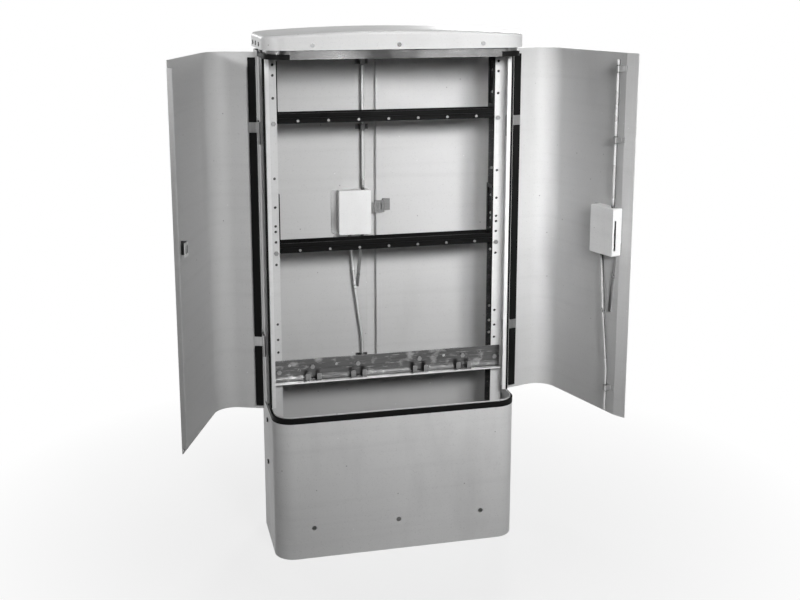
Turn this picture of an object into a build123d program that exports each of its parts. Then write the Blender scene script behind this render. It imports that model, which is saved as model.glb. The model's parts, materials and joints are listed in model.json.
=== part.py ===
"""Roadside cross-connect cabinet: a double-sided sheet steel cabinet on a hollow base.

Millimetres, +Z up. The origin is on the ground under the middle of the base, and the front
faces -Y. The front pair of doors stands open and the rear pair is closed. The rear pair is
the front pair turned half round about Z.
"""

import os
from math import cos, radians, sin

from build123d import *

os.makedirs("parts", exist_ok=True)

# Base
base_width = 660.0
base_depth = 288.0
base_corner = 52.0
base_height = 398.0
base_wall = 2.0
rim_height = 18.0
rim_inset = 5.0
ground_hole_radius = 6.5
ground_hole_pitch = 230.0
ground_hole_height = 85.0
gasket_proud = 0.6
gasket_height = 15.0

# Top frame and roof
opening_height = 920.0
header_height = 24.0
ring_height = 22.0
roof_drop = 1.5
roof_overhang = 7.0
roof_sheet = 2.0
roof_rise = 47.5
roof_camber = 13.0
roof_edge = 9.0
roof_fit = 0.2
corner_gasket_reach = 58.0
corner_gasket_height = 13.0
corner_gasket_lift = 0.1
roof_screw_pitch = 217.0
roof_screw_end_pitch = 60.0
roof_screw_height = 12.0

# Uprights
upright_width = 32.0
upright_depth = 50.0
upright_wall = 2.5
upright_fold = 3.0
upright_drop = 203.0
upright_hole_radius = 3.7
upright_hole_inset = 9.0
upright_hole_shares = (
    0.154, 0.192, 0.238, 0.414, 0.48, 0.51, 0.526, 0.58, 0.662, 0.887, 0.95, 0.979,
)
header_bolt_offset = 12.5

# Fixed strips between the doors at each side
strip_gauge = 2.0
strip_half_width = 60.0
strip_return = 10.0
crown_half_width = 18.0
fold_radius = 2.0
trim_gauge = 5.0
trim_width = 13.0
trim_edge = 1.5

# Doors
door_clear = 1.0
door_sheet = 2.0
door_lap_bottom = 10.0
door_lap_top = 14.0
door_gap = 3.0
door_fold_depth = 10.0
door_fold_width = 14.0
door_fold_margin = 4.0
door_edge_gap = 2.5
flare_width = 21.0
flare_depth = 5.5
flare_bend = 6.0
left_swing_angle = 110.7
right_swing_angle = 106.6
edge_gasket_width = 19.0
edge_gasket_start = 3.0
edge_gasket_fit = 0.3

# Hinges
hinge_setback = 22.0
hinge_radius = 4.5
hinge_pin_radius = 2.5
hinge_running_fit = 0.06
hinge_half_height = 31.0
hinge_gap = 0.5
hinge_leaf_width = 22.0
hinge_leaf_height = 27.0
hinge_leaf_gauge = 2.5
hinge_post_width = 18.0
hinge_plate_gauge = 2.0
hinge_pad_width = 20.0
hinge_pad_height = 56.0
hinge_pad_gap = 2.0
hinge_low_share = 0.184
hinge_high_share = 0.784

# Lock, rods and keep
lock_width = 90.0
lock_height = 124.0
lock_depth = 28.0
lock_wall = 1.5
lock_corner = 4.0
lock_flange = 17.0
lock_edge_gap = 15.0
lock_share = 0.524
backplate_gauge = 2.0
spindle_from_edge = 53.5
spindle_lift = 15.0
spindle_radius = 6.0
spindle_running_fit = 0.08
crank_radius = 22.0
crank_angle = 45.0
crank_pin_radius = 3.0
cam_radius = 29.0
cam_gauge = 4.0
tongue_width = 16.0
tongue_length = 62.0
escutcheon_radius = 17.0
escutcheon_height = 5.0
key_radius = 5.2
rod_radius = 4.5
low_rod_radius = 3.5
rod_inset = 14.5
rod_layer_gap = 1.0
rod_end_gap = 2.5
rod_tip = 1.5
rod_bend = 40.0
low_rod_shift = 33.0
link_drop = 155.0
link_shift = 13.0
rivet_radius = 4.0
rivet_proud = 1.5
eye_gauge = 4.0
eye_height = 20.0
eye_rim = 5.0
eye_play = 0.8
guide_gauge = 2.0
guide_width = 14.0
guide_foot = 12.0
guide_fit = 0.4
stay_width = 9.0
stay_gauge = 3.0
stay_gap = 9.0
guide_low_share = 0.06
guide_middle_share = 0.772
guide_high_share = 0.965
keep_gauge = 2.0
keep_height = 34.0
keep_foot = 22.0
keep_foot_from_edge = 20.0
keep_lip = 27.0
keep_slot_width = 4.0
keep_slot_height = 20.0
keep_slot_pitch = 10.0

# Mounting frames and terminal bars
frame_gauge = 2.5
frame_lip = 25.0
frame_leg_gauge = 3.0
frame_leg_rim = 10.0
upper_bar_share = 0.8163
lower_bar_share = 0.4478
lower_leg_height = 156.0
terminal_height = 13.0
terminal_gauge = 6.0
terminal_edge = 1.2
terminal_screw_pitch = 79.3
terminal_screw_count = 7

# Cable clamp bar
clamp_gauge = 3.0
clamp_end_gap = 8.0
clamp_plate_height = 60.0
clamp_lip = 24.0
clamp_share = 0.064
clamp_hole_radius = 3.5
clamp_hole_shares = (
    (-0.863, 0.74),
    (-0.781, 0.5),
    (-0.457, 0.67),
    (0.492, 0.68),
    (0.816, 0.75),
    (0.819, 0.47),
)
saddle_shares = (-0.667, -0.273, 0.27, 0.66)
saddle_lug_width = 12.0
saddle_lug_height = 21.0
saddle_lug_pitch = 31.0
saddle_gauge = 3.0
saddle_bolt_rise = 38.0
clamp_end_bolt_rise = 28.0

# Fasteners
bolt_head = 6.5
bolt_head_height = 4.0
bolt_shank = 3.0
bolt_length = 11.0
roof_screw_head = 5.5
terminal_screw_head = 3.4
screw_head_height = 2.2
screw_shank = 1.8
screw_length = 5.5
shank_fit = 0.2
base_bolt_low_share = 0.565
base_bolt_high_share = 0.867
spacer_radius = 9.0
overrun = 5.0

# Derived places
half_width = base_width / 2
half_depth = base_depth / 2
shoulder_z = base_height - rim_height
rim_half_width = half_width - rim_inset
rim_half_depth = half_depth - rim_inset
rim_corner = base_corner - rim_inset
header_z = base_height + opening_height
ledge_z = header_z + header_height
roof_z = ledge_z - roof_drop
roof_half_width = half_width + roof_overhang
roof_half_depth = half_depth + roof_overhang
roof_screw_z = roof_z + roof_screw_height
upright_x = rim_half_width - base_wall - upright_width / 2
upright_front = upright_depth / 2
hole_line_x = upright_x - upright_width / 2 + upright_hole_inset
upright_bottom = base_height - upright_drop
upright_top = ledge_z
strip_x = rim_half_width - base_wall + strip_gauge / 2
door_half_width = half_width + door_clear + door_sheet
door_half_depth = half_depth + door_clear + door_sheet
door_bottom = base_height - door_lap_bottom
door_top = header_z + door_lap_top
door_height = door_top - door_bottom
door_bend = base_corner + door_clear + door_sheet / 2
hinge_x = door_half_width + hinge_radius
door_reach = hinge_x - door_gap / 2
door_run = door_half_depth - hinge_setback
crown_x = door_half_width - strip_gauge / 2
fold_bottom = base_height + door_fold_margin
fold_height = opening_height - 2 * door_fold_margin
hinge_levels = (
    door_bottom + hinge_low_share * door_height,
    door_bottom + hinge_high_share * door_height,
)
lock_z = base_height + lock_share * opening_height
lock_u = door_reach - lock_edge_gap - lock_width / 2
spindle_u = door_reach - spindle_from_edge
spindle_z = lock_z + spindle_lift
crank_high = crank_radius * sin(radians(crank_angle))
crank_wide = crank_radius * cos(radians(crank_angle))
eye_offset = (crank_radius + crank_wide) / 2
slot_length = crank_radius - crank_wide + 2 * (crank_pin_radius + eye_play)
slot_height = 2 * (crank_pin_radius + eye_play)
cam_inset = rod_inset + rod_radius + rod_layer_gap
rod_travel = 2 * crank_high
upper_bar_z = base_height + upper_bar_share * opening_height
lower_bar_z = base_height + lower_bar_share * opening_height
clamp_z = base_height + clamp_share * opening_height
clamp_length = 2 * (upright_x + upright_width / 2 - clamp_end_gap)
frame_half_span = upright_x - upright_width / 2 - frame_leg_gauge


def save(builder, name):
    """Name the finished piece and write its file."""
    builder.part.label = name
    export_step(builder.part, f"parts/{name}.step")


def ring(plane, half_x, half_y, corner, wall):
    """Band between a rounded rectangle and the same rectangle drawn in by the wall."""
    with BuildSketch(plane) as band:
        RectangleRounded(2 * half_x, 2 * half_y, corner)
        RectangleRounded(2 * (half_x - wall), 2 * (half_y - wall), corner - wall, mode=Mode.SUBTRACT)
    return band.sketch


def folded(plane, points, radii, gauge):
    """Section of a folded sheet, from the bend points of its middle line."""
    with BuildSketch(plane) as section:
        with BuildLine():
            FilletPolyline(*points, radius=radii)
        trace(line_width=gauge)
    return section.sketch


def discs(plane, places, radius):
    """Round holes or shanks at the places of one plane."""
    with BuildSketch(plane) as dots:
        with Locations(*places):
            Circle(radius)
    return dots.sketch


def hexagons(plane, places, radius):
    """Hexagonal heads at the places of one plane."""
    with BuildSketch(plane) as heads:
        with Locations(*places):
            RegularPolygon(radius, 6)
    return heads.sketch


def facing(x_sign, y_sign, x, y):
    """Upright plane that faces away from the middle along X or Y, with its own Y up."""
    normal = Vector(x_sign, y_sign, 0)
    return Plane(origin=(x, y, 0), x_dir=Vector(-y_sign, x_sign, 0), z_dir=normal)


def add_bolts(plane, places):
    """Hexagon bolts with their heads on the plane and their shanks behind it."""
    extrude(hexagons(plane, places, bolt_head), amount=bolt_head_height)
    extrude(discs(plane, places, bolt_shank), amount=-bolt_length)


def add_screws(plane, places):
    """Pan head screws with their heads on the plane and their shanks behind it."""
    extrude(discs(plane, places, roof_screw_head), amount=screw_head_height)
    extrude(discs(plane, places, screw_shank), amount=-screw_length)


# Faces that carry fasteners
base_sides = [facing(side, 0, side * half_width, 0) for side in (-1, 1)]
base_ends = [facing(0, row, 0, row * half_depth) for row in (-1, 1)]
header_sides = [facing(side, 0, side * rim_half_width, 0) for side in (-1, 1)]
roof_sides = [facing(side, 0, side * roof_half_width, 0) for side in (-1, 1)]
roof_ends = [facing(0, row, 0, row * roof_half_depth) for row in (-1, 1)]
upright_fronts = facing(0, -1, 0, -upright_front)
base_bolt_places = [(0, share * base_height) for share in (base_bolt_low_share, base_bolt_high_share)]
header_bolt_places = [(side * header_bolt_offset, header_z + header_height / 2) for side in (-1, 1)]
roof_end_places = [(step * roof_screw_pitch, roof_screw_z) for step in (-1, 0, 1)]
roof_side_places = [(step * roof_screw_end_pitch, roof_screw_z) for step in (-1, 0, 1)]
frame_bolt_places = [
    (side * hole_line_x, level) for side in (-1, 1) for level in (upper_bar_z, lower_bar_z)
]
clamp_end_places = [(side * hole_line_x, clamp_z + clamp_end_bolt_rise) for side in (-1, 1)]
saddle_bolt_places = [
    (share * clamp_length / 2, clamp_z + saddle_bolt_rise) for share in saddle_shares
]
ground_hole_places = [(step * ground_hole_pitch, ground_hole_height) for step in (-1, 0, 1)]

# Base shell: a rounded sheet tube, stepped in at the top to carry the gasket
with BuildPart() as base_shell:
    extrude(ring(Plane.XY, half_width, half_depth, base_corner, base_wall), amount=shoulder_z)
    step_plane = Plane.XY.offset(shoulder_z - base_wall)
    shoulder = ring(step_plane, half_width, half_depth, base_corner, rim_inset + base_wall)
    extrude(shoulder, amount=base_wall)
    rim = ring(step_plane, rim_half_width, rim_half_depth, rim_corner, base_wall)
    extrude(rim, amount=rim_height + base_wall)
    for face in base_ends:
        extrude(discs(face, ground_hole_places, ground_hole_radius), amount=-overrun, mode=Mode.SUBTRACT)
    for face in base_sides:
        extrude(discs(face, base_bolt_places, bolt_shank + shank_fit), amount=-overrun, mode=Mode.SUBTRACT)
save(base_shell, "base_shell")


def rubber_band(level):
    """Band that fills the step of the rim or of the top rail and stands a little proud."""
    band_x = half_width + gasket_proud
    band_y = half_depth + gasket_proud
    band_corner = base_corner + gasket_proud
    return ring(Plane.XY.offset(level), band_x, band_y, band_corner, rim_inset + gasket_proud)


# Base gasket: a rubber band round the stepped rim
with BuildPart() as base_gasket:
    extrude(rubber_band(shoulder_z), amount=gasket_height)
save(base_gasket, "base_gasket")

# Uprights: punched channels at mid-depth, open towards the middle
for side, name in ((-1, "upright_left"), (1, "upright_right")):
    centre = side * upright_x
    outer_face_plane = facing(side, 0, centre + side * upright_width / 2, 0)
    hole_levels = [base_height + share * opening_height for share in upright_hole_shares]
    open_x = centre - side * upright_width / 2
    web_x = centre + side * (upright_width - upright_wall) / 2
    flange_y = upright_front - upright_wall / 2
    channel = [(open_x, -flange_y), (web_x, -flange_y), (web_x, flange_y), (open_x, flange_y)]
    front_bolts = [place for place in frame_bolt_places + clamp_end_places if place[0] * side > 0]
    with BuildPart() as upright:
        section = folded(Plane.XY.offset(upright_bottom), channel, upright_fold, upright_wall)
        extrude(section, amount=upright_top - upright_bottom)
        hole_places = [(side * hole_line_x, level) for level in hole_levels]
        front_holes = discs(upright_fronts, hole_places, upright_hole_radius)
        extrude(front_holes, amount=-upright_depth, mode=Mode.SUBTRACT)
        bolt_holes = discs(outer_face_plane, base_bolt_places + header_bolt_places, bolt_shank + shank_fit)
        extrude(bolt_holes, amount=-upright_width / 2, mode=Mode.SUBTRACT)
        front_bolt_holes = discs(upright_fronts, front_bolts, bolt_shank + shank_fit)
        extrude(front_bolt_holes, amount=-upright_depth / 2, mode=Mode.SUBTRACT)
    save(upright, name)

# Spacers between the base walls and the uprights
with BuildPart() as upright_spacers:
    for face in base_sides:
        spacer_plane = face.offset(-base_wall)
        extrude(discs(spacer_plane, base_bolt_places, spacer_radius), amount=-rim_inset)
        bores = discs(spacer_plane, base_bolt_places, bolt_shank + shank_fit)
        extrude(bores, amount=-rim_inset, mode=Mode.SUBTRACT)
save(upright_spacers, "upright_spacers")

# Bolts that hold the uprights to the base and to the top frame
with BuildPart() as base_bolts:
    for face in base_sides:
        add_bolts(face, base_bolt_places)
save(base_bolts, "base_bolts")

with BuildPart() as header_bolts:
    for face in header_sides:
        add_bolts(face, header_bolt_places)
save(header_bolts, "header_bolts")

# Top frame: a rounded rail, stepped out above to fit inside the roof skirt
with BuildPart() as top_frame:
    rail = ring(Plane.XY.offset(header_z), rim_half_width, rim_half_depth, rim_corner, base_wall)
    extrude(rail, amount=header_height)
    skirt_inset = roof_sheet + roof_fit
    ledge_x = roof_half_width - skirt_inset
    ledge_y = roof_half_depth - skirt_inset
    ledge_corner = base_corner + roof_overhang - skirt_inset
    ledge_plane = Plane.XY.offset(ledge_z - base_wall)
    ledge = ring(ledge_plane, ledge_x, ledge_y, ledge_corner, ledge_x - rim_half_width + base_wall)
    extrude(ledge, amount=base_wall)
    extrude(ring(ledge_plane, ledge_x, ledge_y, ledge_corner, base_wall), amount=ring_height)
    for face in header_sides:
        extrude(discs(face, header_bolt_places, bolt_shank + shank_fit), amount=-overrun, mode=Mode.SUBTRACT)
    for face in roof_sides:
        side_holes = discs(face, roof_side_places, screw_shank + shank_fit)
        extrude(side_holes, amount=-overrun, mode=Mode.SUBTRACT)
    for face in roof_ends:
        end_holes = discs(face, roof_end_places, screw_shank + shank_fit)
        extrude(end_holes, amount=-overrun, mode=Mode.SUBTRACT)
save(top_frame, "top_frame")

# Top gasket: rubber round the two ends of the top rail, with its front and back left open
with BuildPart() as top_gasket:
    band_z = header_z + corner_gasket_lift
    extrude(rubber_band(band_z), amount=corner_gasket_height)
    with BuildSketch(Plane.XY.offset(band_z)):
        Rectangle(base_width - 2 * corner_gasket_reach, base_depth + 2 * overrun)
    extrude(amount=corner_gasket_height, mode=Mode.SUBTRACT)
    for face in header_sides:
        head_room = hexagons(face, header_bolt_places, bolt_head + shank_fit)
        extrude(head_room, amount=rim_inset + overrun, mode=Mode.SUBTRACT)
save(top_gasket, "top_gasket")

# Roof: a cambered pan with a skirt, open below
with BuildPart() as roof:
    with BuildSketch(Plane.XY.offset(roof_z)):
        RectangleRounded(2 * roof_half_width, 2 * roof_half_depth, base_corner + roof_overhang)
    extrude(amount=roof_rise)
    camber_radius = (roof_half_width**2 + roof_camber**2) / (2 * roof_camber)
    with BuildSketch(Plane.XZ):
        with Locations((0, roof_z + roof_rise - camber_radius)):
            Circle(camber_radius)
    extrude(amount=roof_half_depth + overrun, both=True, mode=Mode.INTERSECT)
    brow = roof.edges().filter_by(lambda edge: edge.center().Z > roof_screw_z + overrun)
    fillet(brow, roof_edge)
    offset(amount=-roof_sheet, openings=roof.faces().sort_by(Axis.Z)[0])
    for face in roof_sides:
        side_holes = discs(face, roof_side_places, screw_shank + shank_fit)
        extrude(side_holes, amount=-overrun, mode=Mode.SUBTRACT)
    for face in roof_ends:
        end_holes = discs(face, roof_end_places, screw_shank + shank_fit)
        extrude(end_holes, amount=-overrun, mode=Mode.SUBTRACT)
save(roof, "roof")

with BuildPart() as roof_screws:
    for face in roof_sides:
        add_screws(face, roof_side_places)
    for face in roof_ends:
        add_screws(face, roof_end_places)
save(roof_screws, "roof_screws")

# Side strips: hat sections at mid-depth, with returned edges and a crown flush with the closed doors
for side, name in ((-1, "side_strip_left"), (1, "side_strip_right")):
    half_section = [
        (side * (strip_x - strip_return), strip_half_width),
        (side * strip_x, strip_half_width),
        (side * strip_x, crown_half_width),
        (side * crown_x, crown_half_width),
    ]
    mirrored = [(x, -y) for x, y in reversed(half_section)]
    with BuildPart() as side_strip:
        section = folded(Plane.XY.offset(base_height), half_section + mirrored, fold_radius, strip_gauge)
        extrude(section, amount=opening_height)
    save(side_strip, name)

# Edge trims: rubber seals on the outside of the strips, behind their returned edges
with BuildPart() as side_trims:
    trim_x = strip_x + (strip_gauge + trim_gauge) / 2
    trim_y = strip_half_width + (strip_gauge - trim_width) / 2
    trim_places = [(side * trim_x, row * trim_y) for side in (-1, 1) for row in (-1, 1)]
    with BuildSketch(Plane.XY.offset(base_height)):
        with Locations(*trim_places):
            RectangleRounded(trim_gauge, trim_width, trim_edge)
    extrude(amount=opening_height)
save(side_trims, "side_trims")

# Hinges: lift-off pairs, the lower knuckle on the side strip and the upper one on the door
hinge_corners = [(side, row) for side in (-1, 1) for row in (-1, 1)]
hinge_places = [(side * hinge_x, row * hinge_setback) for side, row in hinge_corners]
post_leaf_x = hinge_x - hinge_radius + hinge_leaf_gauge / 2
post_leaf_y = hinge_setback - hinge_post_width / 2
post_leaf_places = [(side * post_leaf_x, row * post_leaf_y) for side, row in hinge_corners]

with BuildPart() as hinge_posts:
    for level in hinge_levels:
        with BuildSketch(Plane.XY.offset(level - hinge_half_height)):
            with Locations(*hinge_places):
                Circle(hinge_radius)
            with Locations(*post_leaf_places):
                Rectangle(hinge_leaf_gauge, hinge_post_width)
            with Locations(*hinge_places):
                Circle(hinge_pin_radius, mode=Mode.SUBTRACT)
        extrude(amount=hinge_half_height - hinge_gap / 2)
save(hinge_posts, "hinge_posts")

with BuildPart() as hinge_pads:
    pad_x = strip_x - strip_gauge / 2 - hinge_plate_gauge / 2
    pad_y = upright_front + hinge_pad_gap + hinge_pad_width / 2
    pad_places = [(side * pad_x, row * pad_y) for side, row in hinge_corners]
    for level in hinge_levels:
        with BuildSketch(Plane.XY.offset(level - hinge_pad_height / 2)):
            with Locations(*pad_places):
                Rectangle(hinge_plate_gauge, hinge_pad_width)
        extrude(amount=hinge_pad_height)
save(hinge_pads, "hinge_pads")

with BuildPart() as hinge_pins:
    for level in hinge_levels:
        pins = discs(Plane.XY.offset(level - hinge_half_height), hinge_places, hinge_pin_radius)
        extrude(pins, amount=2 * hinge_half_height)
save(hinge_pins, "hinge_pins")


# Doors: each is drawn closed about its hinge line, with u from that line towards the free
# edge and the depth from the sheet's inner face into the cabinet
def door_plane(hand, turn, swing):
    """Ground plane of a door at its hinge line: hand 1 hinges on the right, -1 on the left."""
    angle = radians(turn + hand * swing)
    facing_back = cos(radians(turn))
    origin = (facing_back * hand * hinge_x, -facing_back * hinge_setback, 0)
    return Plane(origin=origin, x_dir=(cos(angle), sin(angle), 0), z_dir=(0, 0, 1))


def flat(hand, u, depth):
    """Point in a door's ground plane."""
    return (-hand * u, depth + door_sheet - door_run)


def inner_face(door, depth):
    """Upright plane in a right-hand door: X is u, Y is height and the normal points inward."""
    origin = door.from_local_coords(Vector(0, depth + door_sheet - door_run, 0))
    return Plane(origin=origin, x_dir=-door.x_dir, z_dir=door.y_dir)


def make_panel(name, door, hand):
    """Door sheet: half a side, the rounded corner and half a front, hemmed or flared at the free edge."""
    skin_u = hinge_radius + door_sheet / 2
    edge_u = door_reach - door_sheet / 2
    corner_end = [(-hand * skin_u, -door_edge_gap), flat(hand, skin_u, -door_sheet / 2)]
    flared_skin = corner_end + [
        flat(hand, door_reach - flare_width, -door_sheet / 2),
        flat(hand, door_reach, -door_sheet / 2 - flare_depth),
    ]
    plain_skin = corner_end + [flat(hand, edge_u, -door_sheet / 2)]
    hem = [
        flat(hand, edge_u, -door_sheet),
        flat(hand, edge_u, door_fold_depth),
        flat(hand, edge_u - door_fold_width, door_fold_depth),
    ]
    with BuildPart() as panel:
        ground = door.offset(door_bottom)
        if hand > 0:
            flared = folded(ground, flared_skin, (door_bend, flare_bend), door_sheet)
            extrude(flared, amount=door_height)
            bore = discs(inner_face(door, 0), [(spindle_u, spindle_z)], spindle_radius + spindle_running_fit)
            extrude(bore, amount=overrun, both=True, mode=Mode.SUBTRACT)
        else:
            extrude(folded(ground, plain_skin, door_bend, door_sheet), amount=door_height)
            extrude(folded(door.offset(fold_bottom), hem, fold_radius, door_sheet), amount=fold_height)
    save(panel, f"{name}_panel")


def make_edge_gasket(name, door, hand):
    """Rubber strip inside the hinge edge, cut away at the hinge plates."""
    gauge = door_half_width - door_sheet - strip_x - strip_gauge / 2 - edge_gasket_fit
    centre_x = -hand * (hinge_radius + door_sheet + gauge / 2)
    centre_y = -edge_gasket_start - edge_gasket_width / 2
    with BuildPart() as edge_gasket:
        with BuildSketch(door.offset(base_height)):
            with Locations((centre_x, centre_y)):
                Rectangle(gauge, edge_gasket_width)
        extrude(amount=opening_height)
        for level in hinge_levels:
            with BuildSketch(door.offset(level)):
                with Locations((centre_x, centre_y)):
                    Rectangle(gauge + overrun, edge_gasket_width + overrun)
            extrude(amount=hinge_leaf_height, mode=Mode.SUBTRACT)
    save(edge_gasket, f"{name}_gasket")


def make_hinge_leaves(name, door, hand):
    """Upper hinge knuckles with their leaves on the door's outer face."""
    leaf_x = -hand * (hinge_radius - hinge_leaf_gauge / 2)
    with BuildPart() as leaves:
        for level in hinge_levels:
            with BuildSketch(door.offset(level + hinge_gap / 2)):
                Circle(hinge_radius)
                with Locations((leaf_x, -hinge_leaf_width / 2)):
                    Rectangle(hinge_leaf_gauge, hinge_leaf_width)
                Circle(hinge_pin_radius + hinge_running_fit, mode=Mode.SUBTRACT)
            extrude(amount=hinge_leaf_height)
    save(leaves, f"{name}_hinge_leaves")


def make_hinge_plates(name, door, hand):
    """Backing plates of the hinge leaves on the door's inner face."""
    plate_x = -hand * (hinge_radius + door_sheet + hinge_plate_gauge / 2)
    plate_y = -edge_gasket_start - hinge_leaf_width / 2
    with BuildPart() as plates:
        for level in hinge_levels:
            with BuildSketch(door.offset(level + hinge_gap / 2)):
                with Locations((plate_x, plate_y)):
                    Rectangle(hinge_plate_gauge, hinge_leaf_width)
            extrude(amount=hinge_leaf_height - hinge_gap)
    save(plates, f"{name}_hinge_plates")


def make_keep(name, door, hand):
    """Folded plate that hooks over the lock's tongue."""
    foot_u = door_reach - keep_foot_from_edge
    lip_depth = cam_inset + cam_gauge + rod_layer_gap + keep_gauge / 2
    section = [
        flat(hand, foot_u - keep_foot, keep_gauge / 2),
        flat(hand, foot_u, keep_gauge / 2),
        flat(hand, foot_u, lip_depth),
        flat(hand, foot_u + keep_lip, lip_depth),
    ]
    with BuildPart() as keep:
        start = spindle_z - keep_height / 2
        extrude(folded(door.offset(start), section, fold_radius, keep_gauge), amount=keep_height)
        with BuildSketch(inner_face(door, lip_depth)):
            with Locations((hand * (foot_u + keep_lip / 2), spindle_z)):
                with GridLocations(keep_slot_pitch, 0, 2, 1):
                    SlotOverall(keep_slot_height, keep_slot_width, rotation=90)
        extrude(amount=overrun, both=True, mode=Mode.SUBTRACT)
    save(keep, f"{name}_keep")


def make_lock_case(name, door):
    """Lock back plate, its cover and the key escutcheon outside the door."""
    plate_u = lock_u - lock_flange / 2
    bore_radius = spindle_radius + spindle_running_fit
    with BuildPart() as backplate:
        with BuildSketch(inner_face(door, 0)):
            with Locations((plate_u, lock_z)):
                RectangleRounded(lock_width + lock_flange, lock_height, lock_corner)
            with Locations((spindle_u, spindle_z)):
                Circle(bore_radius, mode=Mode.SUBTRACT)
        extrude(amount=backplate_gauge)
    save(backplate, f"{name}_lock_backplate")

    rod_room = 2 * (rod_radius + 2 * guide_fit)
    tongue_low = spindle_z - tongue_length
    tongue_high = spindle_z + tongue_width
    with BuildPart() as cover:
        with BuildSketch(inner_face(door, backplate_gauge)):
            with Locations((lock_u, lock_z)):
                RectangleRounded(lock_width, lock_height, lock_corner)
        extrude(amount=lock_depth)
        fillet(cover.faces().sort_by(Axis(origin=(0, 0, 0), direction=door.y_dir))[-1].edges(), lock_wall)
        with BuildSketch(inner_face(door, backplate_gauge)):
            with Locations((lock_u, lock_z)):
                RectangleRounded(
                    lock_width - 2 * lock_wall, lock_height - 2 * lock_wall, lock_corner - lock_wall
                )
        extrude(amount=lock_depth - lock_wall, mode=Mode.SUBTRACT)
        with BuildSketch(inner_face(door, backplate_gauge)):
            with Locations((spindle_u + eye_offset, lock_z + lock_height / 2)):
                Rectangle(rod_room, 2 * overrun)
            with Locations((spindle_u - eye_offset, lock_z - lock_height / 2)):
                Rectangle(rod_room, 2 * overrun)
        extrude(amount=rod_inset + rod_radius + guide_fit, mode=Mode.SUBTRACT)
        with BuildSketch(inner_face(door, cam_inset - rod_layer_gap)):
            with Locations((lock_u + lock_width / 2, (tongue_low + tongue_high) / 2)):
                Rectangle(2 * overrun, tongue_high - tongue_low)
        extrude(amount=cam_gauge + 2 * rod_layer_gap, mode=Mode.SUBTRACT)
    save(cover, f"{name}_lock_cover")

    with BuildPart() as escutcheon:
        with BuildSketch(inner_face(door, -door_sheet)):
            with Locations((spindle_u, spindle_z)):
                Circle(escutcheon_radius)
                Circle(bore_radius, mode=Mode.SUBTRACT)
        extrude(amount=-escutcheon_height)
        rim = escutcheon.faces().sort_by(Axis(origin=(0, 0, 0), direction=door.y_dir))[0].edges()
        chamfer(rim.sort_by(SortBy.RADIUS)[-1], escutcheon_height / 2)
    save(escutcheon, f"{name}_lock_escutcheon")


def make_lock_cam(name, door):
    """Cam plate with two crank pins, the hooking tongue and the key spindle."""
    pins = [
        (spindle_u + crank_wide, spindle_z - crank_high),
        (spindle_u - crank_wide, spindle_z + crank_high),
    ]
    with BuildPart() as cam:
        with BuildSketch(inner_face(door, cam_inset)):
            with Locations((spindle_u, spindle_z)):
                Circle(cam_radius)
            with Locations((spindle_u, spindle_z - tongue_length / 2)):
                RectangleRounded(tongue_width, tongue_length, tongue_width / 2 - fold_radius)
        extrude(amount=cam_gauge)
        pin_length = cam_inset - rod_inset + eye_gauge
        extrude(discs(inner_face(door, cam_inset), pins, crank_pin_radius), amount=-pin_length)
        spindle = discs(inner_face(door, cam_inset), [(spindle_u, spindle_z)], spindle_radius)
        extrude(spindle, amount=-cam_inset - door_sheet)
        key_end = hexagons(inner_face(door, -door_sheet), [(spindle_u, spindle_z)], key_radius)
        extrude(key_end, amount=-escutcheon_height)
    save(cam, f"{name}_lock_cam")


def add_eye(door, u, level):
    """Slotted end plate of a rod, round one crank pin."""
    with BuildSketch(inner_face(door, rod_inset - eye_gauge / 2)) as eye:
        with Locations((u, level)):
            RectangleRounded(slot_length + 2 * eye_rim, eye_height, eye_rim)
            SlotOverall(slot_length, slot_height, mode=Mode.SUBTRACT)
    return eye.sketch


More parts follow.
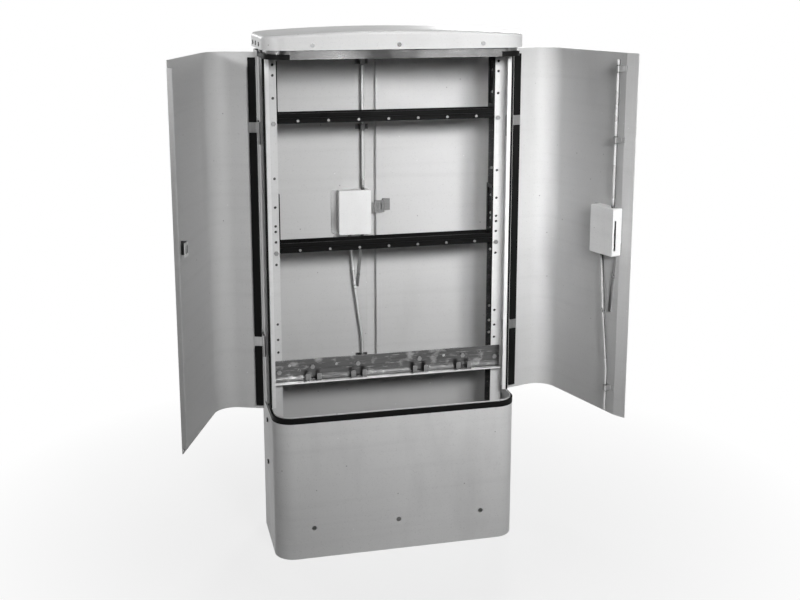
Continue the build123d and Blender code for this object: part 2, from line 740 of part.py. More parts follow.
def make_rods(name, door):
    """Upper rod, cranked lower rod, the straps that guide them and the stay beside the link."""
    rod_face = inner_face(door, rod_inset)
    high_u = spindle_u + eye_offset
    low_u = spindle_u - eye_offset
    high_eye = spindle_z - crank_high
    low_eye = spindle_z + crank_high
    high_end = header_z - rod_end_gap
    low_end = base_height + rod_end_gap
    root_gap = slot_height / 2 + eye_rim / 2
    with BuildPart() as upper_rod:
        extrude(add_eye(door, high_u, high_eye), amount=eye_gauge)
        foot = rod_face.from_local_coords(Vector(high_u, high_eye + root_gap, 0))
        with BuildSketch(Plane(origin=foot, x_dir=door.x_dir, z_dir=(0, 0, 1))):
            Circle(rod_radius)
        extrude(amount=high_end - high_eye - root_gap)
        chamfer(upper_rod.edges().sort_by(Axis.Z)[-1], rod_tip)
    save(upper_rod, f"{name}_upper_rod")

    guide_low = base_height + guide_low_share * opening_height
    lock_bottom = lock_z - lock_height / 2
    joint = (low_u + link_shift, lock_bottom - link_drop)
    link_route = [(low_u, low_eye - root_gap), (low_u, lock_bottom - overrun), joint]
    bolt_route = [
        joint,
        (low_u + low_rod_shift, guide_low + 2 * guide_width + rod_travel),
        (low_u + low_rod_shift, low_end),
    ]
    with BuildPart() as lower_rod:
        extrude(add_eye(door, low_u, low_eye), amount=eye_gauge)
        for route, radius in ((link_route, rod_radius), (bolt_route, low_rod_radius)):
            with BuildLine(rod_face) as centre_line:
                FilletPolyline(*route, radius=rod_bend)
            with BuildSketch(Plane(centre_line.line ^ 0)):
                Circle(radius)
            sweep(path=centre_line.line)
        chamfer(lower_rod.edges().sort_by(Axis.Z)[0], rod_tip)
        rivet = discs(rod_face, [(joint[0], joint[1] + rivet_radius)], rivet_radius)
        extrude(rivet, amount=rod_radius + rivet_proud)
    save(lower_rod, f"{name}_lower_rod")

    straps = [
        (high_u, guide_middle_share, rod_radius),
        (high_u, guide_high_share, rod_radius),
        (low_u + low_rod_shift, guide_low_share, low_rod_radius),
    ]
    with BuildPart() as guides:
        for u, share, radius in straps:
            level = base_height + share * opening_height
            bridge = radius + guide_fit + guide_gauge / 2
            section = [
                flat(1, u - bridge - guide_foot, guide_gauge / 2),
                flat(1, u - bridge, guide_gauge / 2),
                flat(1, u - bridge, rod_inset + bridge),
                flat(1, u + bridge, rod_inset + bridge),
                flat(1, u + bridge, guide_gauge / 2),
                flat(1, u + bridge + guide_foot, guide_gauge / 2),
            ]
            extrude(folded(door.offset(level), section, fold_radius, guide_gauge), amount=guide_width)
        with BuildSketch(inner_face(door, 0)):
            with BuildLine():
                Line((high_u, lock_bottom - stay_width / 2), (joint[0] + stay_gap, joint[1]))
            trace(line_width=stay_width)
        extrude(amount=stay_gauge)
    save(guides, f"{name}_rod_guides")


doors = (
    ("front_left", -1, 0, left_swing_angle),
    ("front_right", 1, 0, right_swing_angle),
    ("rear_left", 1, 180, 0),
    ("rear_right", -1, 180, 0),
)
for name, hand, turn, swing in doors:
    door = door_plane(hand, turn, swing)
    make_panel(name, door, hand)
    make_edge_gasket(name, door, hand)
    make_hinge_leaves(name, door, hand)
    make_hinge_plates(name, door, hand)
    if hand > 0:
        make_lock_case(name, door)
        make_lock_cam(name, door)
        make_rods(name, door)
    else:
        make_keep(name, door, hand)


# Mounting frames: black trays between the uprights, with legs on their inner faces
def make_mounting_frame(name, bottom, leg_top):
    """Tray with front and rear lips and a windowed leg up each upright."""
    with BuildPart() as frame:
        with BuildSketch(Plane.XY.offset(bottom)):
            Rectangle(2 * frame_half_span, upright_depth)
        extrude(amount=frame_gauge)
        with BuildSketch(Plane.XY.offset(bottom)):
            for row in (-1, 1):
                with Locations((0, row * (upright_front - frame_gauge / 2))):
                    Rectangle(2 * frame_half_span, frame_gauge)
        extrude(amount=frame_lip)
        leg_height = leg_top - bottom
        window_low = frame_lip + frame_leg_rim
        window_height = leg_height - window_low - frame_leg_rim
        for side in (-1, 1):
            with BuildSketch(facing(side, 0, side * frame_half_span, 0)):
                with Locations((0, bottom + leg_height / 2)):
                    Rectangle(upright_depth, leg_height)
                with Locations((0, bottom + window_low + window_height / 2)):
                    Rectangle(upright_depth - 2 * frame_leg_rim, window_height, mode=Mode.SUBTRACT)
            extrude(amount=frame_leg_gauge)
        front_holes = discs(upright_fronts, terminal_places(bottom), screw_shank + shank_fit)
        extrude(front_holes, amount=-overrun, mode=Mode.SUBTRACT)
    save(frame, name)


def terminal_places(bottom):
    """Screw places of the terminal bar on one tray."""
    first = -terminal_screw_pitch * (terminal_screw_count - 1) / 2
    level = bottom + terminal_height / 2
    return [(first + step * terminal_screw_pitch, level) for step in range(terminal_screw_count)]


def make_terminal_bar(name, bottom):
    """Moulded bar on the tray's front lip."""
    with BuildPart() as bar:
        with BuildSketch(upright_fronts):
            with Locations((0, bottom + terminal_height / 2)):
                Rectangle(2 * frame_half_span, terminal_height)
        extrude(amount=terminal_gauge)
        chamfer(bar.faces().sort_by(Axis.Y)[0].edges(), terminal_edge)
        holes = discs(upright_fronts, terminal_places(bottom), screw_shank + shank_fit)
        extrude(holes, amount=terminal_gauge, mode=Mode.SUBTRACT)
    save(bar, name)


make_mounting_frame("mounting_frame_upper", upper_bar_z, header_z - frame_leg_rim)
make_mounting_frame("mounting_frame_lower", lower_bar_z, lower_bar_z + lower_leg_height)
make_terminal_bar("terminal_bar_upper", upper_bar_z)
make_terminal_bar("terminal_bar_lower", lower_bar_z)

with BuildPart() as terminal_bar_screws:
    screw_face = upright_fronts.offset(terminal_gauge)
    for bottom in (upper_bar_z, lower_bar_z):
        extrude(discs(screw_face, terminal_places(bottom), terminal_screw_head), amount=screw_head_height)
        screw_reach = terminal_gauge + frame_gauge + screw_head_height
        extrude(discs(screw_face, terminal_places(bottom), screw_shank), amount=-screw_reach)
save(terminal_bar_screws, "terminal_bar_screws")

with BuildPart() as mounting_bolts:
    add_bolts(upright_fronts, frame_bolt_places)
save(mounting_bolts, "mounting_bolts")

# Clamp bar: a galvanised angle across the uprights, with the cable saddles on its lip
clamp_face = upright_fronts.offset(clamp_gauge)
with BuildPart() as clamp_bar:
    plate_y = -upright_front - clamp_gauge / 2
    section = [
        (plate_y, clamp_z + clamp_plate_height),
        (plate_y, clamp_z + clamp_gauge / 2),
        (plate_y - clamp_lip, clamp_z + clamp_gauge / 2),
    ]
    extrude(folded(Plane.YZ, section, clamp_gauge, clamp_gauge), amount=clamp_length / 2, both=True)
    hole_places = [(x * clamp_length / 2, clamp_z + z * clamp_plate_height) for x, z in clamp_hole_shares]
    extrude(discs(clamp_face, hole_places, clamp_hole_radius), amount=-clamp_gauge, mode=Mode.SUBTRACT)
    bolt_holes = discs(clamp_face, clamp_end_places + saddle_bolt_places, bolt_shank + shank_fit)
    extrude(bolt_holes, amount=-clamp_gauge, mode=Mode.SUBTRACT)
save(clamp_bar, "clamp_bar")

with BuildPart() as clamp_bar_bolts:
    add_bolts(clamp_face, clamp_end_places)
save(clamp_bar_bolts, "clamp_bar_bolts")

with BuildPart() as saddle_bolts:
    add_bolts(clamp_face, saddle_bolt_places)
save(saddle_bolts, "saddle_bolts")

with BuildPart() as cable_saddles:
    lip_top = clamp_z + clamp_gauge
    saddle_y = -upright_front - clamp_gauge - clamp_lip / 2
    for share in saddle_shares:
        saddle_x = share * clamp_length / 2
        with BuildSketch(Plane.XY.offset(lip_top)):
            with Locations((saddle_x, saddle_y)):
                Rectangle(saddle_lug_pitch + saddle_lug_width, saddle_lug_width)
        extrude(amount=saddle_gauge)
        lug_face = facing(0, -1, 0, saddle_y - saddle_lug_width / 2 + saddle_gauge)
        with BuildSketch(lug_face):
            for end in (-1, 1):
                with Locations((saddle_x + end * saddle_lug_pitch / 2, lip_top + saddle_lug_height / 2)):
                    RectangleRounded(saddle_lug_width, saddle_lug_height, saddle_gauge)
        extrude(amount=saddle_gauge)
save(cable_saddles, "cable_saddles")
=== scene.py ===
# Roadside utility cabinet: finishes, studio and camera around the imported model, in metres.
import json
from math import cos, pi, radians, sin

import bmesh
import bpy
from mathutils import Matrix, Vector


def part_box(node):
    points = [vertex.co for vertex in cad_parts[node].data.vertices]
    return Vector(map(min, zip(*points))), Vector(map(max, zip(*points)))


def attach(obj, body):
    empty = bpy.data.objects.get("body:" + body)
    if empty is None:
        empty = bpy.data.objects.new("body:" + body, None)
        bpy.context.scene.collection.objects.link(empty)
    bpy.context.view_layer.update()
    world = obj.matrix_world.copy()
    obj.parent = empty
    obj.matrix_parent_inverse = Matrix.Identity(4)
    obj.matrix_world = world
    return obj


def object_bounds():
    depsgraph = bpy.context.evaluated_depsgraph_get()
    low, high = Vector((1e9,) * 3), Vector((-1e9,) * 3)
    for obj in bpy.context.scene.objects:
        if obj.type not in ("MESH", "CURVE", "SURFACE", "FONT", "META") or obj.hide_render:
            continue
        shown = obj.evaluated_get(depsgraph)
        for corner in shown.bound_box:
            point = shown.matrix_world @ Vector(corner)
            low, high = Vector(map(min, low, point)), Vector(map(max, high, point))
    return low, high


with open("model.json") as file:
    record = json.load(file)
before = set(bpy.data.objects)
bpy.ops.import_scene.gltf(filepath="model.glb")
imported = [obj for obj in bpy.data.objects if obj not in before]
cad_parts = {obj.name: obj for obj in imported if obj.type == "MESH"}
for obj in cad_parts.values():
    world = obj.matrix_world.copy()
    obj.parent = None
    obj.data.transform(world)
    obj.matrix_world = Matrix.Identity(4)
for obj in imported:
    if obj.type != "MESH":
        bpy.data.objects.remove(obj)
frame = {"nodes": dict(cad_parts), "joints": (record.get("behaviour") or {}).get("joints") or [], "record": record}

cad_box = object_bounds()
centre = (cad_box[0] + cad_box[1]) / 2
quarter_turn = radians(90.0)

# Camera, placed as the photograph was taken
camera_place = Vector((-0.687, -3.001, 1.510))
camera_yaw = radians(-13.58)
camera_pitch = radians(-11.96)
camera_lens = 52.87
camera_sensor = 36.0
camera_shift_y = -0.09

# Studio values. A lamp has its place, its target, its size, its power and its beam
ambient_level = 0.01
white_level = 1.0
floor_size = 40.0
floor_tone = 0.80
floor_fade = (0.45, 1.3)
floor_shadow_share = 0.22
footprint_inset = 0.02
spot_beam = radians(20.0)
narrow_beam = radians(40.0)
wide_beam = radians(60.0)
open_beam = radians(180.0)
lamps = {
    "key_right": ((0.9, -2.6, 2.0), (0.35, 0.0, 1.0), 0.6, 2.5, narrow_beam),
    "key_front": ((0.3, -2.8, 1.9), (0.10, 0.0, 0.90), 0.6, 5.1, wide_beam),
    "fill_left": ((-0.5, -2.8, 1.9), (0.35, 0.0, 0.95), 0.6, 0.7, narrow_beam),
    "roof_left": ((-2.4, -1.6, 1.8), (-0.33, -0.05, 1.36), 0.3, 0.4, spot_beam),
    "inner_right": ((-1.6, -2.4, 1.7), (0.42, -0.1, 0.80), 0.3, 0.25, spot_beam),
    "overhead": ((0.0, -0.6, 3.2), (0.0, 0.0, 0.9), 1.0, 2.6, open_beam),
    "rear_right": ((1.4, 2.8, 2.0), (0.1, 0.0, 0.8), 0.8, 5.0, wide_beam),
    "rear_left": ((-1.4, 2.8, 1.8), (-0.1, 0.0, 0.8), 0.8, 3.0, wide_beam),
}
card_distance = 5.0
card_size = 9.0
card_tone = 0.06


# Shader nodes
plain_sockets = (0, 1)
colour_sockets = (0, 6, 7)
colour_output = 2
even = (1.0, 1.0, 1.0)
unturned = (0.0, 0.0, 0.0)


def fill(tree, socket, value):
    """Puts a value into a socket, or links another node's socket to it."""
    if isinstance(value, bpy.types.NodeSocket):
        tree.links.new(value, socket)
    else:
        socket.default_value = value


def add_node(tree, kind, settings=None, **inputs):
    """A node with its settings and inputs. An input is a value or another node's socket."""
    made = tree.nodes.new(kind)
    for name, value in (settings or {}).items():
        setattr(made, name, value)
    for name, value in inputs.items():
        fill(tree, made.inputs[name.replace("_", " ")], value)
    return made


def new_material(name, **inputs):
    """A material with a principled shader, whose plain values are set on its own sockets."""
    material = bpy.data.materials.new(name)
    material.use_nodes = True
    shader = material.node_tree.nodes["Principled BSDF"]
    for socket, value in inputs.items():
        shader.inputs[socket.replace("_", " ")].default_value = value
    return material.node_tree, shader, material


def grey(tone):
    """A grey that is no lighter than white."""
    level = min(1.0, tone)
    return (level, level, level, 1.0)


def math(tree, operation, *values):
    made = add_node(tree, "ShaderNodeMath", {"operation": operation})
    for index, value in zip(plain_sockets, values):
        fill(tree, made.inputs[index], value)
    return made.outputs[0]


def dot(tree, one, other):
    made = add_node(tree, "ShaderNodeVectorMath", {"operation": "DOT_PRODUCT"})
    for index, value in zip(plain_sockets, (one, other)):
        fill(tree, made.inputs[index], value)
    return made.outputs["Value"]


def own_place(tree):
    """The place on the piece, in its own metres."""
    return add_node(tree, "ShaderNodeTexCoord").outputs["Object"]


def noise(tree, scale, stretch=even, detail=3.0, turn=unturned):
    """Noise in the piece's own metres, from 0 to 1."""
    mapped = add_node(tree, "ShaderNodeMapping", Vector=own_place(tree), Rotation=turn, Scale=stretch)
    made = add_node(tree, "ShaderNodeTexNoise", Vector=mapped.outputs[0], Scale=scale, Detail=detail)
    return made.outputs[0]


def span(tree, value, limits, results=(0.0, 1.0)):
    """A value's range between two limits, spread over two results and held at its ends."""
    made = add_node(tree, "ShaderNodeMapRange", Value=value)
    for socket, number in zip(("From Min", "From Max", "To Min", "To Max"), (*limits, *results)):
        made.inputs[socket].default_value = number
    return made.outputs[0]


def blend(tree, share, a, b):
    made = add_node(tree, "ShaderNodeMix", {"data_type": "RGBA"})
    for index, value in zip(colour_sockets, (share, a, b)):
        fill(tree, made.inputs[index], value)
    return made.outputs[colour_output]


def mark(tree, colour, mask, strength, tone):
    """A colour with a grey laid over it where a mask is 1, as strongly as given."""
    return blend(tree, math(tree, "MULTIPLY", mask, strength), colour, grey(tone))


# Masks and bumps
edge_samples = 4
edge_limits = (0.98, 0.80)
corner_samples = 8
corner_limits = (0.97, 0.72)
chip_core_share = 0.6


def edge_mask(tree, radius):
    """1 along the piece's edges and 0 on its faces."""
    rounded = add_node(tree, "ShaderNodeBevel", {"samples": edge_samples}, Radius=radius).outputs[0]
    flat = add_node(tree, "ShaderNodeNewGeometry").outputs["Normal"]
    return span(tree, dot(tree, rounded, flat), edge_limits)


def corner_mask(tree, reach):
    """1 deep between a piece and what it lies against, and 0 in the open."""
    opened = add_node(tree, "ShaderNodeAmbientOcclusion", {"samples": corner_samples}, Distance=reach)
    return span(tree, opened.outputs["AO"], corner_limits)


def inside_mask(tree):
    """1 on the faces that look in towards the upright axis through the origin."""
    geometry = add_node(tree, "ShaderNodeNewGeometry").outputs
    return math(tree, "LESS_THAN", dot(tree, geometry["Position"], geometry["Normal"]), 0.0)


def below(tree, axis, limit):
    """1 where the piece's own coordinate on an axis is under a limit."""
    apart = add_node(tree, "ShaderNodeSeparateXYZ", Vector=own_place(tree)).outputs
    return math(tree, "LESS_THAN", apart[axis], limit)


def chips(tree, density, radius):
    """Scattered round spots, as many as the cells per metre give."""
    cells = add_node(tree, "ShaderNodeTexVoronoi", Vector=own_place(tree), Scale=density)
    reach = radius * density
    return span(tree, cells.outputs["Distance"], (reach, reach * chip_core_share))


def bump(tree, shader, height, strength, distance):
    made = add_node(tree, "ShaderNodeBump", Strength=strength, Distance=distance, Height=height)
    tree.links.new(made.outputs[0], shader.inputs["Normal"])


# Finishes. A mark has the limits of its noise, a strength, and a share of the finish's own tone
middle_limits = (0.3, 0.7)
rolled_across = (0.5, 1.0, 14.0)
rolled_upright = (14.0, 14.0, 0.5)


# Stove enamel
enamel_index = 1.5
enamel_roughness = (0.38, 0.52)
cloud_noise = {"scale": 3.0, "detail": 4.0}
cloud_shares = (0.92, 1.08)
streak_noise = {"scale": 2.0, "stretch": (1.0, 1.0, 26.0), "detail": 4.0}
streak_limits = (0.50, 0.70)
streak_strength = 0.10
streak_share = 0.62
speck_noise = {"scale": 260.0, "detail": 2.0}
speck_limits = (0.60, 0.74)
speck_strength = 0.40
speck_share = 0.72
smudge_noise = {"scale": 7.0, "stretch": (1.0, 1.0, 0.35), "detail": 6.0}
smudge_limits = (0.54, 0.70)
smudge_share = 0.45
dark_chips = {"density": 22.0, "radius": 0.0022}
dark_chip_strength = 0.65
dark_chip_share = 0.25
pale_chips = {"density": 17.0, "radius": 0.0020}
pale_chip_strength = 0.55
pale_chip_share = 1.45
worn_edge = 0.0015
worn_noise = {"scale": 22.0}
worn_limits = (0.35, 0.65)
worn_strengths = (0.3, 1.0)
worn_share = 1.5
spray_noise = {"scale": 420.0, "detail": 1.0}
spray_strength = 0.12
spray_depth = 0.0003


def enamel(name, tone, smudge=0.12, wear=0.25, inner_shade_tone=None):
    """Sprayed enamel: clouded and streaked, with specks, smudges, chips and paler worn edges, and with painted
    shade on its inner faces where an inner tone is given.
    """
    tree, shader, material = new_material(name, IOR=enamel_index)
    clouds = noise(tree, **cloud_noise)
    colour = blend(tree, clouds, *(grey(tone * share) for share in cloud_shares))
    # Painted shade: the faces looking in towards the middle take the darker inner tone
    if inner_shade_tone:
        colour = blend(tree, inside_mask(tree), colour, grey(inner_shade_tone))
    streaks = span(tree, noise(tree, **streak_noise), streak_limits)
    colour = mark(tree, colour, streaks, streak_strength, tone * streak_share)
    specks = span(tree, noise(tree, **speck_noise), speck_limits)
    colour = mark(tree, colour, specks, speck_strength, tone * speck_share)
    smudges = span(tree, noise(tree, **smudge_noise), smudge_limits)
    colour = mark(tree, colour, smudges, smudge, tone * smudge_share)
    colour = mark(tree, colour, chips(tree, **dark_chips), dark_chip_strength, tone * dark_chip_share)
    colour = mark(tree, colour, chips(tree, **pale_chips), pale_chip_strength, tone * pale_chip_share)
    uneven = span(tree, noise(tree, **worn_noise), worn_limits, worn_strengths)
    worn = math(tree, "MULTIPLY", edge_mask(tree, worn_edge), uneven)
    colour = mark(tree, colour, worn, wear, tone * worn_share)
    tree.links.new(colour, shader.inputs["Base Color"])
    tree.links.new(span(tree, clouds, middle_limits, enamel_roughness), shader.inputs["Roughness"])
    bump(tree, shader, noise(tree, **spray_noise), spray_strength, spray_depth)
    return material


# Plated and galvanised steel
line_noise = {"scale": 18.0, "detail": 5.0}
line_shares = (0.72, 1.2)
line_strength = 0.10
line_depth = 0.0004
spangle_scale = 70.0
spangle_strength = 0.25
spangle_share = 0.6
scratch_noise = {"scale": 30.0, "stretch": (1.0, 1.0, 18.0), "detail": 6.0, "turn": (0.0, 0.5, 0.2)}
scratch_limits = (0.62, 0.70)
metal_edge = 0.0012
bright_share = 0.6
bright_tone = 0.5
# Painted shade in corners: how far it reaches, and the share of the tone it darkens to
corner_shade_reach = 0.06
corner_shade_share = 0.08
smear_noise = {"scale": 9.0, "detail": 5.0}
smear_shares = (0.75, 1.35)


def rolled_metal(name, tone, rough, along, scratch=0.35, edge=0.25, metallic=1.0, corner_shade=0.0):
    """Plated steel: spangled, with drawn lines, scratches, bright edges and painted shade in its corners."""
    tree, shader, material = new_material(name, Metallic=metallic)
    lines = noise(tree, stretch=along, **line_noise)
    spangle = add_node(tree, "ShaderNodeTexVoronoi", Scale=spangle_scale).outputs["Color"]
    spots = add_node(tree, "ShaderNodeSeparateColor", Color=spangle).outputs[0]
    bright = min(1.0, tone * bright_share + bright_tone)
    colour = blend(tree, lines, *(grey(tone * share) for share in line_shares))
    colour = mark(tree, colour, spots, spangle_strength, tone * spangle_share)
    scratches = span(tree, noise(tree, **scratch_noise), scratch_limits)
    colour = mark(tree, colour, scratches, scratch, bright)
    colour = mark(tree, colour, edge_mask(tree, metal_edge), edge, bright)
    # Painted shade: darker where the piece lies close against another part
    if corner_shade:
        colour = mark(tree, colour, corner_mask(tree, corner_shade_reach), corner_shade, tone * corner_shade_share)
    tree.links.new(colour, shader.inputs["Base Color"])
    smears = noise(tree, **smear_noise)
    roughness = span(tree, smears, middle_limits, [rough * share for share in smear_shares])
    tree.links.new(roughness, shader.inputs["Roughness"])
    bump(tree, shader, lines, line_strength, line_depth)
    return material


# Dulled zinc of the clamp bar
dull_shares = (0.6, 1.5)
dull_roughness = (0.27, 0.42)
dull_line_strength = 0.03
rubbed_noise = {"scale": 26.0, "stretch": (1.0, 1.0, 1.6), "detail": 5.0}
rubbed_limits = (0.58, 0.70)
rubbed_strength = 0.55
rubbed_share = 0.55
dull_scratch_strength = 0.35
lip_highlight_noise = {"scale": 40.0, "detail": 4.0}
lip_highlight_limits = (0.30, 0.60)
lip_highlight_strengths = (0.75, 1.0)
lip_highlight_depth = 0.012
front_axis = 1


def worn_zinc(name, tone, bright, lip_highlight_y):
    """Galvanised steel dulled dark, with rubbed patches, scratches, edges worn bright and a painted highlight
    along its lit front lip.
    """
    tree, shader, material = new_material(name, Metallic=1.0)
    lines = noise(tree, stretch=rolled_across, **line_noise)
    colour = blend(tree, lines, *(grey(tone * share) for share in dull_shares))
    rubbed = span(tree, noise(tree, **rubbed_noise), rubbed_limits)
    colour = mark(tree, colour, rubbed, rubbed_strength, bright * rubbed_share)
    scratches = span(tree, noise(tree, **scratch_noise), scratch_limits)
    colour = mark(tree, colour, scratches, dull_scratch_strength, bright)
    # The band along the front lip is a painted highlight of its lit edge; the bright edges are wear
    worn = math(tree, "MAXIMUM", below(tree, front_axis, lip_highlight_y), edge_mask(tree, metal_edge))
    uneven = span(tree, noise(tree, **lip_highlight_noise), lip_highlight_limits, lip_highlight_strengths)
    colour = mark(tree, colour, worn, uneven, bright)
    tree.links.new(colour, shader.inputs["Base Color"])
    smears = noise(tree, **smear_noise)
    tree.links.new(span(tree, smears, middle_limits, dull_roughness), shader.inputs["Roughness"])
    bump(tree, shader, lines, dull_line_strength, line_depth)
    return material


# Black paint, moulding and rubber
black_specular = 0.06
black_noise = {"scale": 14.0, "detail": 5.0}
black_shares = (0.6, 1.5)
black_edge = 0.001
black_edge_strength = 0.6
black_rough_shares = (0.8, 1.25)
grain_detail = 2.0
grain_strength = 0.3


def black_finish(name, tone, rough, grain_scale, grain_depth, edge_tone):
    """Black enamel, moulding or rubber: faint clouding, a fine grain and greyed edges."""
    tree, shader, material = new_material(name, Specular_IOR_Level=black_specular)
    clouds = noise(tree, **black_noise)
    colour = blend(tree, clouds, *(grey(tone * share) for share in black_shares))
    colour = mark(tree, colour, edge_mask(tree, black_edge), black_edge_strength, edge_tone)
    tree.links.new(colour, shader.inputs["Base Color"])
    roughness = span(tree, clouds, middle_limits, [rough * share for share in black_rough_shares])
    tree.links.new(roughness, shader.inputs["Roughness"])
    bump(tree, shader, noise(tree, grain_scale, detail=grain_detail), grain_strength, grain_depth)
    return material


# Finishes by name. A piece takes its slot's finish, unless it has its own
# Where the painted highlight along the clamp bar's front lip ends
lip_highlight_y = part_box("clamp_bar")[0].y + lip_highlight_depth
finishes = {
    "door_paint": enamel("door_paint", tone=0.56),
    # The base's inner faces carry painted shade
    "base_paint": enamel("base_paint", tone=0.72, smudge=0.18, inner_shade_tone=0.50),
    "roof_paint": enamel("roof_paint", tone=0.61),
    # The insides of the upright channels are painted nearly black as shade
    "frame_paint": enamel("frame_paint", tone=0.66, inner_shade_tone=0.04),
    # A lighter copy of the frame paint: painted light on the side strips
    "strip_paint": enamel("strip_paint", tone=0.80),
    "lock_paint": enamel("lock_paint", tone=0.80),
    "galvanised": rolled_metal("galvanised", tone=0.30, rough=0.22, along=rolled_across, scratch=0.5),
    "dull_zinc": worn_zinc("dull_zinc", tone=0.11, bright=0.90, lip_highlight_y=lip_highlight_y),
    "zinc_plate": rolled_metal("zinc_plate", tone=0.54, rough=0.34, along=rolled_upright),
    # The rods carry painted shade where they stand close to the doors
    "bare_steel": rolled_metal(
        "bare_steel", tone=0.80, rough=0.30, along=rolled_upright, scratch=0.1, metallic=0.35, corner_shade=1.0
    ),
    # Darker with dirt, with painted shade in its corners, and strongly brightened edges that are partly wear and
    # partly a painted highlight
    "soiled_shaded_zinc": rolled_metal(
        "soiled_shaded_zinc", tone=0.26, rough=0.30, along=rolled_upright, scratch=0.2, edge=0.9, corner_shade=0.8
    ),
    "fastener_steel": rolled_metal("fastener_steel", tone=0.30, rough=0.36, along=rolled_across),
    "black_paint": black_finish(
        "black_paint", tone=0.006, rough=0.34, grain_scale=300.0, grain_depth=0.0003, edge_tone=0.05
    ),
    "black_moulding": black_finish(
        "black_moulding", tone=0.005, rough=0.40, grain_scale=500.0, grain_depth=0.0002, edge_tone=0.03
    ),
    "rubber": black_finish(
        "rubber", tone=0.007, rough=0.50, grain_scale=650.0, grain_depth=0.0004, edge_tone=0.025
    ),
}

# Pieces that are more soiled and carry more painted shade, or are rubbed brighter, than the rest of their slot
own_finishes = {
    "cable_saddles": "soiled_shaded_zinc",
    "rear_left_rod_guides": "soiled_shaded_zinc",
    "roof_screws": "soiled_shaded_zinc",
    "base_bolts": "soiled_shaded_zinc",
    "front_left_keep": "bare_steel",
}
for row in frame["record"]["subparts"]:
    mesh = frame["nodes"][row["node"]].data
    mesh.materials.clear()
    mesh.materials.append(finishes[own_finishes.get(row["node"], row["material_slot"])])


# Screw and bolt heads, pressed with round edges
head_segments = 3
head_rounds = {
    "roof_screws": 0.0019,
    "terminal_bar_screws": 0.0013,
    "mounting_bolts": 0.0008,
    "saddle_bolts": 0.0008,
}
for node, radius in head_rounds.items():
    rounded = frame["nodes"][node].modifiers.new("round_heads", "BEVEL")
    rounded.width = radius
    rounded.segments = head_segments
    rounded.limit_method = "ANGLE"


# Laps: the flared edges of the lock doors, carried on over the doors beside them
lap_length = 0.013
lap_steps = 8
level_slack = 0.0001
plan_digits = 6


def free_edge(node, axis):
    """The two corners of a door sheet's free edge in plan, which lie farthest from its hinge."""
    points = [vertex.co for vertex in frame["nodes"][node].data.vertices]
    top = max(point.z for point in points)
    rim = [point for point in points if point.z > top - level_slack]
    plan = {(round(point.x, plan_digits), round(point.y, plan_digits)) for point in rim}
    far = sorted((Vector(corner) for corner in plan), key=lambda corner: (corner - axis).length)
    return far[-1], far[-2]


def lap_section(one, other, axis):
    """Outline of a sheet in plan, from the door's edge on to a rounded end."""
    middle = (one + other) / 2
    across_sheet = (one - other) / 2
    along_sheet = Vector((-across_sheet.y, across_sheet.x))
    if along_sheet.dot(middle - axis) < 0:
        along_sheet = -along_sheet
    end = middle + along_sheet.normalized() * lap_length - along_sheet
    turns = [pi * step / lap_steps for step in range(lap_steps + 1)]
    return [one, *(end + across_sheet * cos(turn) + along_sheet * sin(turn) for turn in turns), other]


def add_lap(door):
    hinge = next(joint for joint in frame["joints"] if joint["name"] == f"{door}_door_hinge")
    axis = Vector(hinge["pos_m"][:2])
    low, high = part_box(f"{door}_panel")
    outline = lap_section(*free_edge(f"{door}_panel", axis), axis)
    count = len(outline)
    points = [(point.x, point.y, level) for level in (low.z, high.z) for point in outline]
    sides = [(i, (i + 1) % count, (i + 1) % count + count, i + count) for i in range(count)]
    mesh = bpy.data.meshes.new(f"{door}_lap")
    mesh.from_pydata(points, [], sides + [tuple(range(count)), tuple(range(count, 2 * count))])
    solid = bmesh.new()
    solid.from_mesh(mesh)
    bmesh.ops.recalc_face_normals(solid, faces=solid.faces)
    solid.to_mesh(mesh)
    solid.free()
    mesh.materials.append(finishes["door_paint"])
    lap = bpy.data.objects.new(f"{door}_lap", mesh)
    bpy.context.scene.collection.objects.link(lap)
    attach(lap, f"{door}_door")


for door in ("front_right", "rear_left"):
    add_lap(door)


# Studio
def plane(name, size, material):
    mesh = bpy.data.meshes.new(name)
    half = size / 2
    corners = [(-half, -half, 0.0), (half, -half, 0.0), (half, half, 0.0), (-half, half, 0.0)]
    mesh.from_pydata(corners, [], [(0, 1, 2, 3)])
    mesh.materials.append(material)
    made = bpy.data.objects.new(name, mesh)
    bpy.context.scene.collection.objects.link(made)
    return made


def footprint(tree, place):
    """1 on the floor inside the base, which the camera sees through the bolt holes."""
    apart = add_node(tree, "ShaderNodeSeparateXYZ", Vector=place).outputs
    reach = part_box("base_shell")[1]
    inside = [
        math(tree, "LESS_THAN", math(tree, "ABSOLUTE", apart[axis]), reach[axis] - footprint_inset)
        for axis in (0, 1)
    ]
    return math(tree, "MULTIPLY", *inside)


def floor_material():
    """A pale matt floor that is seen to fade to white, with the object's shadow kept near it."""
    tree, shader, material = new_material("studio_floor", Roughness=1.0, Base_Color=grey(floor_tone))
    place = own_place(tree)
    reach = add_node(tree, "ShaderNodeVectorMath", {"operation": "LENGTH"}, Vector=place)
    near = span(tree, reach.outputs["Value"], floor_fade, (floor_shadow_share, 0.0))
    near = math(tree, "MAXIMUM", near, footprint(tree, place))
    white = add_node(tree, "ShaderNodeEmission", Color=grey(1.0), Strength=white_level).outputs[0]
    faded = add_node(tree, "ShaderNodeMixShader", Fac=near)
    tree.links.new(white, faded.inputs[1])
    tree.links.new(shader.outputs[0], faded.inputs[2])
    rays = add_node(tree, "ShaderNodeLightPath").outputs
    seen = math(tree, "MAXIMUM", rays["Is Camera Ray"], rays["Is Glossy Ray"])
    mixed = add_node(tree, "ShaderNodeMixShader", Fac=seen)
    tree.links.new(shader.outputs[0], mixed.inputs[1])
    tree.links.new(faded.outputs[0], mixed.inputs[2])
    tree.links.new(mixed.outputs[0], tree.nodes["Material Output"].inputs["Surface"])
    return material


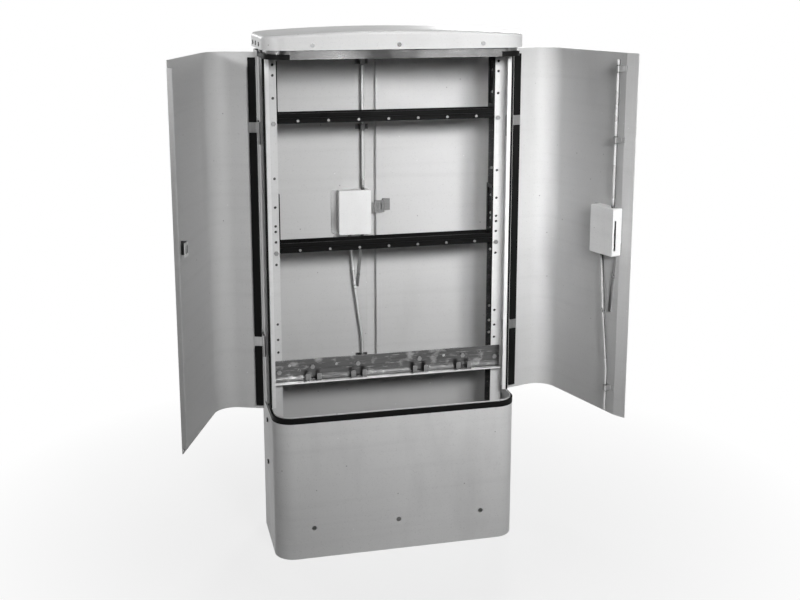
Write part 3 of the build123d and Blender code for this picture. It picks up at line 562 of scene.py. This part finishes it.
def set_world():
    """White where it is seen or mirrored, and a low even light elsewhere."""
    world = bpy.data.worlds.new("studio_world")
    bpy.context.scene.world = world
    world.use_nodes = True
    tree = world.node_tree
    ambient = tree.nodes["Background"]
    ambient.inputs["Color"].default_value = grey(1.0)
    ambient.inputs["Strength"].default_value = ambient_level
    white = add_node(tree, "ShaderNodeBackground", Color=grey(1.0), Strength=white_level)
    rays = add_node(tree, "ShaderNodeLightPath").outputs
    mirrored = math(tree, "MAXIMUM", rays["Is Glossy Ray"], rays["Is Transmission Ray"])
    seen = math(tree, "MAXIMUM", rays["Is Camera Ray"], mirrored)
    mixed = add_node(tree, "ShaderNodeMixShader", Fac=seen)
    tree.links.new(ambient.outputs[0], mixed.inputs[1])
    tree.links.new(white.outputs[0], mixed.inputs[2])
    tree.links.new(mixed.outputs[0], tree.nodes["World Output"].inputs["Surface"])


def area_light(name, place, target, size, power, spread):
    lamp = bpy.data.lights.new(name, "AREA")
    lamp.shape = "DISK"
    lamp.size = size
    lamp.energy = power
    lamp.spread = spread
    made = bpy.data.objects.new(name, lamp)
    made.location = place
    made.rotation_euler = (Vector(target) - Vector(place)).to_track_quat("-Z", "Y").to_euler()
    bpy.context.scene.collection.objects.link(made)


floor = plane("studio_floor", floor_size, floor_material())
floor.location.z = cad_box[0].z
card_material = new_material("dark_card", Roughness=1.0, Base_Color=grey(card_tone))[-1]
card = plane("dark_card", card_size, card_material)
card.location = (centre.x, -card_distance, centre.z)
card.rotation_euler.x = quarter_turn
card.visible_camera = False
card.visible_diffuse = False
card.visible_shadow = False
set_world()
for name, values in lamps.items():
    area_light(name, *values)
bpy.context.scene.view_settings.view_transform = "Standard"

# Camera
lens = bpy.data.cameras.new("camera")
lens.sensor_width = camera_sensor
lens.lens = camera_lens
lens.shift_y = camera_shift_y
camera = bpy.data.objects.new("camera", lens)
camera.location = camera_place
camera.rotation_euler = (quarter_turn + camera_pitch, 0.0, camera_yaw)
bpy.context.scene.collection.objects.link(camera)
bpy.context.scene.camera = camera
